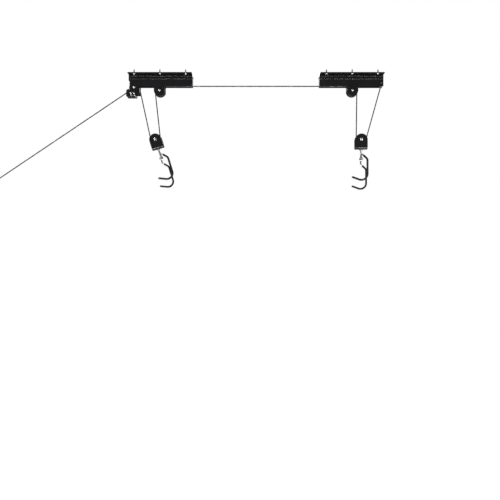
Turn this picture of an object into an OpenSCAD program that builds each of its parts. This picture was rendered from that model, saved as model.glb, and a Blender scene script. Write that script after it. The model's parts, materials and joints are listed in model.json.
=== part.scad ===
// Bike ceiling hoist: two ceiling brackets with pulleys, one rope through both,
// two lower blocks with swivelling double hooks, a rope lock and a wall cleat.
// +X runs from the front bracket to the rear one, +Y is away from the viewer, +Z is up.
// The origin is the middle of the front bracket's ceiling face.

/* [Brackets] */
// Length of each ceiling bracket
bracket_l = 220; // [180:1:300]
// Distance between the middles of the two brackets
bracket_gap = 657; // [450:1:1200]
// Width of the ceiling plate
plate_w = 70; // [62:1:100]
// Thickness of the ceiling plate
plate_t = 2; // [1.5:0.1:4]
// Outside width of the pulley channel
channel_w = 24; // [23:0.5:36]
// Thickness of the channel's steel
wall_t = 2; // [1.5:0.1:3]
// Height from the ceiling to the lower edge of the channel
channel_h = 41; // [32:1:48]
// Radius of the rounded bends along the channel's top
channel_bend_r = 4; // [3:0.5:6]
// Height of the pressed rib below the ceiling
rib_drop = 16; // [12:1:22]
// Height of the upper bead below the ceiling
bead_drop = 6; // [6:0.5:9]
// Radius of the pressed rib and of the bead
rib_r = 1.5; // [0.8:0.1:2.5]
// Radius of the half-round pulley lugs
lug_r = 19.5; // [19:0.5:24]
// Shift of the middle pulley and its lug from the bracket's middle, outwards
middle_shift = 4; // [0:0.5:10]
// Drop of the end lug's lower edge below the ceiling
end_lug_drop = 69.5; // [69:0.1:72]
// Length of the step at the outer end of the front channel
end_step_l = 3; // [2:0.5:5]
// Drop of that step below the ceiling
end_step_drop = 21; // [16:1:28]

/* [Pulleys] */
// Outside radius of every pulley
pulley_r = 18.5; // [18:0.1:20]
// Radius at the middle of the rope on a pulley
pitch_r = 16.5; // [16:0.1:17.5]
// Width of a pulley across its rims
pulley_w = 11; // [9:0.5:14]
// Radius of a pulley's hub
hub_r = 9; // [8:0.5:11]
// Depth of the round dish in each side of a pulley
dish_depth = 2; // [1:0.1:3]
// Width of a pulley's outer rim around that dish
rim_w = 4; // [3:0.1:5]
// Outside radius of the bush that a pulley turns on
bush_r = 5; // [4.5:0.1:6]

/* [Layout] */
// Drop of the middle pulleys' axles below the ceiling
middle_drop = 55; // [50:1:70]
// Distance of the end pulley's axle from the front bracket's outer end
end_inset = 18.5; // [18:0.5:20]
// Drop of the end pulley's axle below the ceiling
end_drop = 45; // [44:0.5:46]
// Drop of the lower blocks' axles below the ceiling
block_drop = 223; // [200:1:400]
// Shift of the front block from the front bracket's middle, towards the lock
front_block_shift = 19; // [5:1:40]
// Shift of the rear block from the rear bracket's middle, towards the rope's end
rear_block_shift = 35; // [5:1:50]
// Distance of the rope's anchor pin from the rear bracket's outer end
anchor_inset = 6; // [6:1:30]
// Drop of the anchor pin below the ceiling
anchor_drop = 29; // [24:1:32]
// Lean of the front block, in degrees
front_tilt = 17; // [0:1:25]

/* [Rope] */
// Thickness of the rope
rope_d = 4; // [3:0.1:4.4]
// Length of the pull rope from the lock to the cleat
tail_l = 560; // [300:1:900]
// Slope of the pull rope below level, in degrees
tail_slope = 33.9; // [20:0.1:50]
// Length of the knot at each end of the rope
knot_l = 9; // [8:0.5:14]
// Thickness of that knot
knot_d = 11; // [9:0.5:14]

/* [Lower blocks] */
// Width of a lower block's side plates
block_w = 42; // [40:1:50]
// Distance between the side plates
block_gap = 20; // [18:0.5:26]
// Thickness of the block's steel
block_t = 2.5; // [2:0.1:4]
// Height of the plates above the axle
block_top = 19; // [19:0.5:26]
// Depth of the block below the axle, to the underside of its base
block_base = 34; // [31:0.5:40]
// Radius of the bends between the side plates and the base
block_bend_r = 8; // [3:0.5:8]

/* [Hooks] */
// Thickness of the hook rod
rod_d = 5; // [4:0.1:7]
// Thickness of the vinyl on the prongs
sleeve_t = 0.9; // [0.4:0.1:1.5]
// Distance between the two prongs
prong_gap = 140; // [100:1:180]
// Drop of the cross bar below the block's axle
bar_drop = 67; // [64:1:90]
// Radius of the bend at each end of the cross bar
bar_bend_r = 9; // [8:0.5:14]
// Sideways reach of the slanting part of a prong
slant = 19.5; // [14:0.5:24]
// Slope of that slanting part below level, in degrees
slant_slope = 45; // [35:1:55]
// Radius of the knee between the slanting part and the shank
knee_r = 12; // [8:0.5:14]
// Drop from the cross bar to the middle of the hook's bowl
bowl_drop = 70; // [60:1:90]
// Radius of the bowl, at the middle of the rod
bowl_r = 20; // [16:0.5:26]
// Turn of the bowl past its lowest point, in degrees
bowl_turn = 22; // [10:1:50]
// Length of the straight lead at the hook's tip
lead_l = 24; // [12:1:34]
// Turn of the front hook on its swivel, in degrees
front_yaw = -8; // [-30:1:30]
// Turn of the rear hook on its swivel, in degrees
rear_yaw = 10; // [-30:1:30]
// Lean of the front hook's cross bar in its eye, in degrees
front_roll = 2; // [0:0.5:8]
// Lean of the rear hook's cross bar in its eye, in degrees
rear_roll = 6; // [0:0.5:8]

/* [Rope lock] */
// Length of the lock's housing
lock_l = 33.5; // [33:0.1:36]
// Distance of the housing's inner end from the front bracket's outer end
lock_inset = 25.5; // [25:0.1:27]
// Drop of the housing's underside below the ceiling
lock_bottom = 77; // [77:0.5:84]
// Thickness of the housing's steel
lock_t = 2; // [1.5:0.1:2.2]
// Radius of the housing's rounded shoulder round the guide pin
lock_eye_r = 3.3; // [3:0.1:4]
// Radius of the guide and lip pins
guide_r = 2; // [1.8:0.1:2.2]
// Distance between the guide pin and the rope's lip pin, along the rope
lip_step = 3; // [2.5:0.1:3.4]
// Drop of the guide pin below the end pulley's axle
guide_drop = 10; // [9.5:0.1:10.5]
// Radius of the cam's hub
cam_r = 3.4; // [3.2:0.1:3.6]
// Radius of the cam's pin
cam_pin_r = 2; // [1.8:0.1:2.2]
// Radius of the round heads on the lock's bolts
lock_head_r = 3.5; // [3:0.1:4]
// Distance from the cam's pin to the housing's bolt
lock_bolt_step = 11; // [10.5:0.1:12]
// Height of the rivets above the housing's underside
rivet_lift = 4.2; // [4:0.1:5]
// Shift of each rivet from the pin or bolt above it
rivet_shift = 2.5; // [2:0.5:4]
// Width of the cam
cam_w = 7; // [6:0.5:9]
// Distance of the cam's pin from the end pulley's axle, towards the rope
cam_x = 11; // [11:0.1:11.6]
// Drop of the cam's pin below the end pulley's axle
cam_drop = 20.4; // [20.3:0.1:20.8]
// Number of teeth on the cam
cam_teeth = 5; // [3:1:6]

/* [Fasteners] */
// Radius of the pulley axles
axle_r = 3; // [2.5:0.1:3.5]
// Radius of an axle's round head
head_r = 4.3; // [4:0.1:5]
// Radius of the round heads on the lower blocks' axles
block_head_r = 5.5; // [5:0.1:7]
// Height of an axle's round head
head_h = 3.2; // [2.5:0.1:4]
// Distance across the flats of a nut
nut_w = 10; // [9:0.5:12]
// Thickness of a nut
nut_h = 5; // [4:0.1:6]
// Radius of the ceiling screws
screw_r = 2.5; // [2:0.1:3]
// Length of a ceiling screw above the plate
screw_l = 14; // [10:1:50]
// Radius of a ceiling screw's head
screw_head_r = 4.5; // [4:0.1:6]
// Distance of the corner screws from the bracket's ends
screw_inset = 22; // [12:1:30]
// Distance between the two rows of ceiling screws
screw_row = 52; // [48:1:60]
// Radius of the lock's rivets and small pins
rivet_r = 1.75; // [1.5:0.1:2]

/* [Cleat] */
// Length of the wall cleat between its horn tips
cleat_l = 110; // [90:1:150]
// Width of the cleat's base
cleat_w = 22; // [18:1:30]
// Length of the cleat's base
cleat_base_l = 56; // [48:1:70]
// Thickness of the cleat's base
cleat_base_t = 6; // [5:0.5:9]
// Distance from the wall to the middle of the horns
cleat_horn_h = 26; // [22:1:34]
// Radius of the cleat's legs, and of the horns at their roots
cleat_bar_r = 6; // [5:0.5:7]

/* [Clearances] */
// Running gap of a shaft in its hole, on the radius
run_gap = 0.05; // [0.02:0.01:0.1]
// Gap between a rope and what turns beside it
rope_gap = 0.3; // [0.2:0.05:0.5]
// Gap at each side of a part that turns between plates
side_gap = 0.3; // [0.2:0.05:0.6]
// Gap of a screw or bolt in a plain hole, on the radius
hole_gap = 0.1; // [0.05:0.05:0.3]

/* [Hidden] */
$fn = 48;

// How far every cut runs past the solid that it cuts
over = 1;
rope_r = rope_d / 2;
rod_r = rod_d / 2;
groove_r = pitch_r - rope_r - rope_gap;
inner_w = channel_w - 2 * wall_t;
screw_pitch = bracket_l / 2 - screw_inset;
wall_z = -plate_t;
steel = [0.10, 0.10, 0.11];
zinc = [0.74, 0.75, 0.76];
nylon = [0.06, 0.06, 0.065];
rope_colour = [0.09, 0.09, 0.10];

// Axles and pins, as [x, z] in the middle plane
outer_x = bracket_l / 2;
end_c = [end_inset - outer_x, -end_drop];
front_c = [-middle_shift, -middle_drop];
rear_c = [bracket_gap + middle_shift, -middle_drop];
front_block_c = [-front_block_shift, -block_drop];
rear_block_c = [bracket_gap + rear_block_shift, -block_drop];
anchor_c = [bracket_gap + outer_x - anchor_inset, -anchor_drop];
guide_bend_r = guide_r + rope_r;
guide_c = [end_c.x - pitch_r - guide_bend_r, end_c.y - guide_drop];
lip_c = [guide_c.x - lip_step, guide_c.y - 2 * guide_bend_r];
cam_c = [end_c.x - cam_x, end_c.y - cam_drop];

// Direction, in degrees, from one [x, z] point to another
function heading(a, b) = atan2(b.y - a.y, b.x - a.x);
// Point at a distance and angle from a centre
function spot(c, r, a) = [c.x + r * cos(a), c.y + r * sin(a)];
// Angle of the normal of a straight fall that shifts sideways by "shift" between two axles
function fall_down(a, b, shift) = heading(a, b) + acos(shift / norm(b - a));
function fall_up(a, b, shift) = heading(a, b) - acos(shift / norm(b - a));

knot_top = [anchor_c.x, anchor_c.y - axle_r - rope_d];
normal_1 = fall_down(end_c, front_block_c, 2 * pitch_r);
normal_2 = fall_up(front_block_c, front_c, 2 * pitch_r);
normal_3 = fall_down(rear_c, rear_block_c, 2 * pitch_r);
normal_4 = fall_up(rear_block_c, knot_top, pitch_r);

knot_foot = spot(knot_top, knot_l, normal_4 - 90);

// The pull rope leaves the lip pin at this point and ends at the cleat
tail_turn = 90 + tail_slope;
tail_start = spot(lip_c, guide_bend_r, tail_turn);
tail_end = spot(tail_start, tail_l, 180 + tail_slope);

half_turn = 180;
quarter = 90;
arc_steps = 12;
rope_sides = 12;
rod_sides = 16;

// Sweeping a round section along points: a ring at each point, square to the route there
function unit(v) = v / norm(v);
function way_in(p, i) = unit(p[max(i, 1)] - p[max(i, 1) - 1]);
function way_out(p, i) = unit(p[min(i, len(p) - 2) + 1] - p[min(i, len(p) - 2)]);
function way(p, i) = unit(way_in(p, i) + way_out(p, i));
function square_to(v, t) = unit(v - (v * t) * t);
function ring_ups(p, up) = [
    for (i = 0, u = square_to(up, way(p, 0)); i < len(p);
        i = i + 1, u = square_to(u, way(p, min(i, len(p) - 1)))) u
];
function ring(c, t, u, r, sides) = [
    for (k = [0:sides - 1]) c + r * (cos(360 * k / sides) * u + sin(360 * k / sides) * cross(t, u))
];
function rings(p, up, r, sides) = let (ups = ring_ups(p, up)) [
    for (i = [0:len(p) - 1]) each ring(p[i], way(p, i), ups[i], r, sides)
];
// Faces between two rings that start at points a and b, and the cap of one ring
function band(a, b, sides) = [
    for (k = [0:sides - 1]) each [
        [a + k, b + k, b + (k + 1) % sides], [a + k, b + (k + 1) % sides, a + (k + 1) % sides]
    ]
];
function cap(a, sides) = [for (k = [0:sides - 1]) a + k];
function back(list) = [for (i = [len(list) - 1:-1:0]) list[i]];
function lay(list, y) = [for (q = list) [q.x, y, q.y]];
function arc(c, r, from, turn) = [
    for (i = [0:arc_steps]) spot(c, r, from + turn * i / arc_steps)
];

module sweep(p, up, r, sides) {
    last = (len(p) - 1) * sides;
    polyhedron(rings(p, up, r, sides), concat(
        [cap(0, sides)],
        [for (i = [0:len(p) - 2]) each band(i * sides, (i + 1) * sides, sides)],
        [back(cap(last, sides))]
    ));
}

// Basic shapes in the X-Z plane. "flat" stands a drawing in X-Z and gives it a depth along Y.
module flat(y0, depth) {
    translate([0, y0 + depth, 0]) rotate([90, 0, 0]) linear_extrude(depth) children();
}

module rod_y(c, r, y0, y1) {
    translate([c.x, y1, c.y]) rotate([90, 0, 0]) cylinder(r = r, h = y1 - y0);
}

module rope_line(a, b) {
    translate([a.x, 0, a.y])
        rotate([0, quarter - heading(a, b), 0])
            cylinder(r = rope_r, h = norm(b - a));
}

module rod_arc(c, bend_r, thick_r, from, turn) {
    translate([c.x, 0, c.y])
        rotate([0, -from, 0])
            rotate([90, 0, 0])
                rotate_extrude(angle = turn) translate([bend_r, 0]) circle(r = thick_r);
}

module rounded_rect(x0, z0, x1, z1, r) {
    translate([x0 + r, z0]) square([x1 - x0 - 2 * r, z1 - z0]);
    translate([x0, z0 + r]) square([x1 - x0, z1 - z0 - 2 * r]);
    for (x = [x0 + r, x1 - r], z = [z0 + r, z1 - r]) translate([x, z]) circle(r = r);
}

// Round-headed bolt along Y, its head towards -Y, from y0 (under the head) to y1
module round_bolt(c, r, y0, y1, cap_r) {
    rod_y(c, r, y0, y1);
    translate([c.x, y0, c.y]) rotate([90, 0, 0]) round_head(cap_r, head_h);
}

module round_head(r, h) {
    cap_r = (r * r + h * h) / (2 * h);
    intersection() {
        translate([0, 0, h - cap_r]) sphere(r = cap_r);
        cylinder(r = r, h = h);
    }
}

module nut_y(c, bore, y0) {
    translate([c.x, y0 + nut_h, c.y]) rotate([90, 0, 0]) difference() {
        cylinder(r = nut_w / sqrt(3), h = nut_h, $fn = 6);
        translate([0, 0, -over]) cylinder(r = bore, h = nut_h + 2 * over);
    }
}

module bush(c, width) {
    translate([c.x, width / 2, c.y]) rotate([90, 0, 0]) difference() {
        cylinder(r = bush_r, h = width);
        translate([0, 0, -over]) cylinder(r = axle_r + hole_gap, h = width + 2 * over);
    }
}

// A pulley: grooved rim, dished web, and a hub as wide as the space between the plates
module pulley(c, hub_w) {
    rim_edge = pulley_w / 2;
    web = rim_edge - dish_depth;
    mouth = rope_r + rope_gap + 2 * side_gap;
    hub = hub_w / 2;
    bore = bush_r + run_gap;
    color(nylon) translate([c.x, 0, c.y]) rotate([90, 0, 0]) difference() {
        rotate_extrude() polygon([
            [bore, -hub], [hub_r, -hub], [hub_r, -web], [pulley_r - rim_w, -web],
            [pulley_r - rim_w, -rim_edge], [pulley_r, -rim_edge],
            [pulley_r, rim_edge], [pulley_r - rim_w, rim_edge],
            [pulley_r - rim_w, web], [hub_r, web], [hub_r, hub], [bore, hub]
        ]);
        rotate_extrude() translate([pitch_r, 0]) circle(r = rope_r + rope_gap);
        rotate_extrude() polygon([
            [pitch_r, -rope_r - rope_gap], [pulley_r + over, -mouth],
            [pulley_r + over, mouth], [pitch_r, rope_r + rope_gap]
        ]);
    }
}

// Ceiling plate with six screw holes
module ceiling_plate(x) {
    color(steel) translate([x, 0, -plate_t]) difference() {
        linear_extrude(plate_t) rounded_rect(
            -outer_x, -plate_w / 2, outer_x, plate_w / 2, 2 * plate_t);
        for (sx = [-screw_pitch, 0, screw_pitch], sy = [-screw_row / 2, screw_row / 2])
            translate([sx, sy, -over]) cylinder(r = screw_r + hole_gap, h = plate_t + 2 * over);
    }
}

module ceiling_screws(x) {
    color(zinc) for (sx = [-screw_pitch, 0, screw_pitch], sy = [-screw_row / 2, screw_row / 2])
        translate([x + sx, sy, 0]) {
            translate([0, 0, -plate_t]) cylinder(r = screw_r - 2 * hole_gap, h = plate_t + over);
            cylinder(r = screw_r, h = screw_l - 2 * screw_r);
            translate([0, 0, screw_l - 2 * screw_r]) cylinder(r1 = screw_r, r2 = 0, h = 2 * screw_r);
            translate([0, 0, -plate_t]) mirror([0, 0, 1]) round_head(screw_head_r, head_h);
        }
}

// One channel wall in X-Z, for a bracket whose outer end is at -X. The front one is cut back
// by a step there.
module wall_outline(step_l) {
    translate([step_l - outer_x, -channel_h])
        square([bracket_l - step_l, channel_h + wall_z - channel_bend_r]);
    translate([-middle_shift - lug_r, -middle_drop])
        square([2 * lug_r, middle_drop - channel_h + over]);
    translate([-middle_shift, -middle_drop]) circle(r = lug_r);
    if (step_l > 0) {
        translate([-outer_x, -end_step_drop])
            square([bracket_l, end_step_drop + wall_z - channel_bend_r]);
        translate([step_l - outer_x, -end_step_drop]) circle(r = step_l);
    }
}

// The lug for the end pulley, which also carries the rope lock
module end_lug_outline() {
    foot = lug_r / 8;
    rounded_rect(end_step_l - outer_x, -end_lug_drop, end_c.x + lug_r, -channel_h + foot + over,
        foot);
}

module channel(x, flip, with_end_lug) {
    half = channel_w / 2;
    top = wall_z;
    rib_start = end_step_l - outer_x;
    color(steel) translate([x, 0, 0]) mirror([flip, 0, 0]) difference() {
        union() {
            for (y0 = [-half, half - wall_t]) flat(y0, wall_t) {
                wall_outline(with_end_lug ? end_step_l : 0);
                if (with_end_lug) end_lug_outline();
            }
            translate([-outer_x, 0, 0]) rotate([quarter, 0, quarter])
                linear_extrude(bracket_l) difference() {
                    crown(half, top, channel_bend_r);
                    crown(half - wall_t, top - wall_t, channel_bend_r - wall_t);
                }
            for (side = [-1, 1], drop = [bead_drop, rib_drop])
                translate([rib_start, side * half, -drop]) rotate([0, quarter, 0])
                    cylinder(r = rib_r, h = bracket_l - 2 * end_step_l);
        }
        rod_y([-middle_shift, -middle_drop], axle_r + hole_gap, -half - over, half + over);
        if (with_end_lug) {
            rod_y(end_c, axle_r + hole_gap, -half - over, half + over);
            rod_y(lock_bolt_c, rivet_r + hole_gap, -half - over, half + over);
            rod_y(cam_c, cam_pin_r + hole_gap, -half - over, half + over);
        }
        if (!with_end_lug)
            rod_y([anchor_inset - outer_x, -anchor_drop], axle_r + hole_gap,
                -half - over, half + over);
    }
}

// Rounded top of the channel's section, down to where its straight walls begin
module crown(half, top, r) {
    translate([-half + r, top - r]) square([2 * half - 2 * r, r]);
    for (y = [-half + r, half - r]) intersection() {
        translate([y, top - r]) circle(r = r);
        translate([-half, top - r]) square([2 * half, r]);
    }
}

module upper_axle(c) {
    half = channel_w / 2;
    color(zinc) round_bolt(c, axle_r, -half, half + nut_h + wall_t, head_r);
}

module upper_nut(c) {
    color(zinc) nut_y(c, axle_r + run_gap, channel_w / 2);
}

// Rope lock
lock_half = channel_w / 2 + lock_t;
lock_left = lock_inset - outer_x - lock_l;
lock_bolt_c = [cam_c.x + lock_bolt_step, cam_c.y];
rivet_z = -lock_bottom + rivet_lift;
rivets = [[cam_c.x + rivet_shift, rivet_z], [lock_bolt_c.x + rivet_shift, rivet_z]];

// Side of the housing: a plate, a round shoulder over the guide pin, and a slope down from it
module lock_outline() {
    shoulder = spot(guide_c, lock_eye_r, 135);
    rounded_rect(lock_left, -lock_bottom, lock_left + lock_l, guide_c.y, lock_t);
    translate(guide_c) circle(r = lock_eye_r);
    translate([guide_c.x, guide_c.y - lock_eye_r]) square([2 * guide_r, 2 * lock_eye_r]);
    polygon([
        guide_c, shoulder, [lock_left, shoulder.y + lock_left - shoulder.x],
        [lock_left, guide_c.y - 2 * lock_eye_r]
    ]);
}

module lock_housing() {
    color(steel) difference() {
        union() {
            for (y0 = [-lock_half, lock_half - lock_t]) flat(y0, lock_t) lock_outline();
            translate([lock_left + lock_t, -lock_half + lock_t, -lock_bottom])
                cube([lock_l - 2 * lock_t, channel_w, lock_t]);
        }
        for (c = [guide_c, lip_c]) rod_y(c, guide_r + hole_gap, -lock_half - over, lock_half + over);
        rod_y(cam_c, cam_pin_r + hole_gap, -lock_half - over, lock_half + over);
        for (c = concat([lock_bolt_c], rivets))
            rod_y(c, rivet_r + hole_gap, -lock_half - over, lock_half + over);
    }
}

// Two short bolts that hold the housing to the end lug, one at each side
module lock_bolts() {
    inner = channel_w / 2 - wall_t - 2 * rivet_r;
    color(zinc) for (side = [0, 1]) mirror([0, side, 0]) {
        rod_y(lock_bolt_c, rivet_r, -lock_half, -inner);
        translate([lock_bolt_c.x, -lock_half, lock_bolt_c.y]) rotate([90, 0, 0])
            round_head(lock_head_r, 1.5 * rivet_r);
        translate([lock_bolt_c.x, -inner, lock_bolt_c.y]) rotate([90, 0, 0])
            cylinder(r = 2 * rivet_r, h = 2 * rivet_r, $fn = 6);
    }
}

module lock_rivets() {
    color(zinc) for (c = rivets) {
        rod_y(c, rivet_r, -lock_half, lock_half);
        for (side = [0, 1]) mirror([0, side, 0]) translate([c.x, -lock_half, c.y])
            rotate([90, 0, 0]) round_head(1.5 * rivet_r, rivet_r / 2);
    }
}

// Guide or lip pin, flush with the housing's outer faces
module lock_pin(c) {
    color(steel) rod_y(c, guide_r, -lock_half, lock_half);
}

module lock_cam_pin() {
    color(zinc) {
        round_bolt(cam_c, cam_pin_r, -lock_half, lock_half, lock_head_r);
        for (side = [0, 1]) mirror([0, side, 0])
            rod_y(cam_c, cam_r, cam_w / 2 + side_gap, inner_w / 2);
        translate([cam_c.x, lock_half + cam_pin_r, cam_c.y]) rotate([90, 0, 0])
            cylinder(r = 2 * cam_pin_r, h = cam_pin_r, $fn = 6);
    }
}

// Turn from one cam tooth to the next, and how much each is longer, as a share of the hub
tooth_turn = 20;
cam_rise_share = 0.06;

// Toothed cam that pinches the rope against the guide pin
module lock_cam() {
    nose = norm(guide_c - cam_c) - guide_bend_r - rope_r - rope_gap;
    aim = heading(cam_c, guide_c);
    tooth = cam_r / 4;
    color(zinc) difference() {
        flat(-cam_w / 2, cam_w) translate(cam_c) {
            circle(r = cam_r);
            for (i = [0:cam_teeth - 1]) rotate(aim + (i - 1) * tooth_turn) {
                tip = nose + (i - 1) * cam_rise_share * cam_r;
                polygon([[0, -tooth], [tip - tooth / 2, -tooth], [tip, 0], [0, tooth]]);
            }
        }
        rod_y(cam_c, cam_pin_r + run_gap, -cam_w, cam_w);
    }
}

// Anchor: the rope's end is tied round a pin across the rear channel
module anchor_pin() {
    half = channel_w / 2;
    color(steel) {
        round_bolt(anchor_c, axle_r, -half, half + nut_h, head_r);
        nut_y(anchor_c, axle_r / 2, half);
    }
}

module anchor_knot() {
    ring_r = axle_r + rope_r + hole_gap;
    color(rope_colour) {
        translate([anchor_c.x, 0, anchor_c.y]) rotate([90, 0, 0])
            rotate_extrude() translate([ring_r, 0]) circle(r = rope_r);
        translate([knot_top.x, 0, knot_top.y]) rotate([0, half_turn - normal_4, 0])
            knot_body();
    }
}

module knot_body() {
    end_r = knot_d / 4;
    rotate_extrude() {
        square([knot_d / 2 - end_r, knot_l]);
        translate([0, end_r]) square([knot_d / 2, knot_l - 2 * end_r]);
        for (z = [end_r, knot_l - end_r]) translate([knot_d / 2 - end_r, z]) circle(r = end_r);
    }
}

// The rope, piece by piece along its route
module rope_lock_bend() {
    color(rope_colour) sweep(lay(concat(
        arc(end_c, pitch_r, normal_1, half_turn - normal_1),
        arc(guide_c, guide_bend_r, 0, -quarter),
        arc(lip_c, guide_bend_r, quarter, tail_slope)
    ), 0), [0, 1, 0], rope_r, rope_sides);
}

module rope_top_run() {
    color(rope_colour) sweep(lay(concat(
        arc(front_c, pitch_r, half_turn + normal_2, -quarter - normal_2),
        arc(rear_c, pitch_r, quarter, normal_3 - quarter)
    ), 0), [0, 1, 0], rope_r, rope_sides);
}

module rope_front_fall_left() {
    color(rope_colour) rope_line(
        spot(front_block_c, pitch_r, normal_1 + half_turn), spot(end_c, pitch_r, normal_1));
}

module rope_front_fall_right() {
    color(rope_colour) rope_line(
        spot(front_block_c, pitch_r, normal_2), spot(front_c, pitch_r, normal_2 + half_turn));
}

module rope_rear_fall_left() {
    color(rope_colour) rope_line(
        spot(rear_block_c, pitch_r, normal_3 + half_turn), spot(rear_c, pitch_r, normal_3));
}

module rope_rear_fall_right() {
    color(rope_colour) rope_line(
        spot(rear_block_c, pitch_r, normal_4), knot_foot);
}

module front_rope_bight() {
    color(rope_colour) rod_arc(
        front_block_c, pitch_r, rope_r, normal_1 + half_turn, half_turn + normal_2 - normal_1);
}

module rear_rope_bight() {
    color(rope_colour) rod_arc(
        rear_block_c, pitch_r, rope_r, normal_3 + half_turn, half_turn + normal_4 - normal_3);
}

// Places children in a lower block's own frame: axle at the origin, leaning by "tilt"
module at_block(c, tilt) {
    translate([c.x, 0, c.y]) rotate([0, -tilt, 0]) children();
}

block_half = block_gap / 2 + block_t;
eye_hole = axle_r + hole_gap;

module block_frame() {
    arch_r = block_w / 2;
    arch_z = block_top - arch_r;
    bend = block_bend_r;
    color(steel) difference() {
        union() {
            for (y0 = [-block_half, block_half - block_t]) flat(y0, block_t) {
                translate([0, arch_z]) circle(r = arch_r);
                translate([-arch_r, -block_base + bend]) square([block_w, arch_z + block_base - bend]);
            }
            translate([-arch_r, 0, 0]) rotate([quarter, 0, quarter])
                linear_extrude(block_w) difference() {
                    block_foot(block_half, -block_base, bend);
                    block_foot(block_half - block_t, -block_base + block_t, bend - block_t);
                }
        }
        rod_y([0, 0], axle_r + hole_gap, -block_half - over, block_half + over);
        translate([0, 0, -block_base - over]) cylinder(r = eye_hole, h = block_t + 2 * over);
    }
}

module block_foot(half, bottom, r) {
    translate([-half + r, bottom]) square([2 * half - 2 * r, block_bend_r - block_base - bottom]);
    for (y = [-half + r, half - r]) translate([y, bottom + r]) intersection() {
        circle(r = r);
        translate([-r, -r]) square([2 * r, r]);
    }
}

module block_axle() {
    color(zinc) round_bolt([0, 0], axle_r, -block_half, block_half + nut_h + wall_t, block_head_r);
}

module block_nut() {
    color(zinc) nut_y([0, 0], axle_r + run_gap, block_half);
}

// Eye that turns in the block's base: shank, collar under the base, and ring
eye_wire = rod_r - rod_r / 6;
eye_ring_r = rod_r + rope_gap + eye_wire;
collar_h = 3;
module swivel_eye() {
    shank_top = -block_base + block_t + side_gap + nut_h;
    ring_top = -bar_drop + eye_ring_r;
    color(zinc) {
        translate([0, 0, ring_top]) cylinder(r = axle_r, h = shank_top - ring_top);
        translate([0, 0, -block_base - side_gap - collar_h])
            cylinder(r = 2 * axle_r, h = collar_h);
        translate([0, 0, -bar_drop]) rotate([90, 0, 0])
            rotate_extrude() translate([eye_ring_r, 0]) circle(r = eye_wire);
    }
}

module swivel_nut() {
    color(zinc) translate([0, 0, -block_base + block_t + side_gap]) difference() {
        cylinder(r = nut_w / sqrt(3), h = nut_h, $fn = 6);
        translate([0, 0, -over]) cylinder(r = axle_r, h = nut_h + 2 * over);
    }
}

// Hook frame: the cross bar lies along Y through the eye, turned and leaning a little
module at_hook(yaw, roll) {
    translate([0, 0, -bar_drop]) rotate([0, 0, -yaw]) rotate([-roll, 0, 0]) children();
}

// A prong's route in its own X-Z plane: slant, knee, shank, bowl and lead
prong_y = prong_gap / 2;
sleeve_r = rod_r + sleeve_t;
bar_half = prong_y - bar_bend_r;
slant_start = spot([0, 0], bar_bend_r, -slant_slope);
knee_x = slant - knee_r;
slant_fall = (knee_x + knee_r * sin(slant_slope) - slant_start.x) * tan(slant_slope);
knee_c = [knee_x, slant_start.y - slant_fall - knee_r * cos(slant_slope)];
bowl_c = [slant - bowl_r, -bowl_drop];
lead_start = spot(bowl_c, bowl_r, -quarter - bowl_turn);
prong_route = concat(
    [slant_start],
    arc(knee_c, knee_r, quarter - slant_slope, slant_slope - quarter),
    arc(bowl_c, bowl_r, 0, -quarter - bowl_turn),
    [spot(lead_start, lead_l, half_turn - bowl_turn)]
);
// Half of the hook's route: the cross bar, its end bend, and one prong
bar_bend = [
    for (i = [0:arc_steps - 1]) let (a = quarter * i / arc_steps) [
        bar_bend_r * (1 - cos(a)) * cos(slant_slope),
        bar_half + bar_bend_r * sin(a),
        -bar_bend_r * (1 - cos(a)) * sin(slant_slope)
    ]
];
half_route = concat(bar_bend, lay(prong_route, prong_y));

module hook_rod() {
    other_half = back([for (q = half_route) [q.x, -q.y, q.z]]);
    color(zinc) sweep(concat(other_half, half_route), [0, 1, 0], rod_r, rod_sides);
}

// Vinyl sleeve over each prong, closed at the tip
module hook_sleeves() {
    route = lay(prong_route, 0);
    n = len(route);
    tip = route[n - 1];
    end_way = way(route, n - 1);
    outside = concat(route, [tip + end_way * sleeve_t]);
    outer = concat(
        rings(outside, [0, 1, 0], sleeve_r, rod_sides),
        ring(tip + end_way * 2 * sleeve_t, end_way, [0, 1, 0], rod_r, rod_sides));
    m = len(outer);
    inner = rings(concat(route, [tip + end_way * run_gap]), [0, 1, 0], rod_r + run_gap, rod_sides);
    color(nylon) for (side = [0, 1]) mirror([0, side, 0]) translate([0, prong_y, 0])
        polyhedron(concat(outer, inner), concat(
            [for (i = [0:n]) each band(i * rod_sides, (i + 1) * rod_sides, rod_sides)],
            [back(cap(m - rod_sides, rod_sides))],
            [for (i = [0:n - 1]) each band(m + (i + 1) * rod_sides, m + i * rod_sides, rod_sides)],
            [cap(m + n * rod_sides, rod_sides)],
            band(m, 0, rod_sides)
        ));
}

// Pull rope and the cleat that holds it
module pull_rope() {
    color(rope_colour) rope_line(tail_end, tail_start);
}

// The rope's end is knotted to a loop round the cleat's middle bar, which slopes as the rope does
loop_r = (cleat_bar_r + rope_r + hole_gap) / cos(tail_slope);
cleat_c = spot(tail_end, knot_l + loop_r + rope_r / 2, half_turn + tail_slope);
module pull_rope_knot() {
    color(rope_colour) {
        translate([tail_end.x, 0, tail_end.y])
            rotate([0, -quarter - tail_slope, 0]) knot_body();
        translate([cleat_c.x, 0, cleat_c.y]) rotate([0, -tail_slope, 0])
            rotate_extrude() translate([loop_r, 0]) circle(r = rope_r);
    }
}

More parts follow.
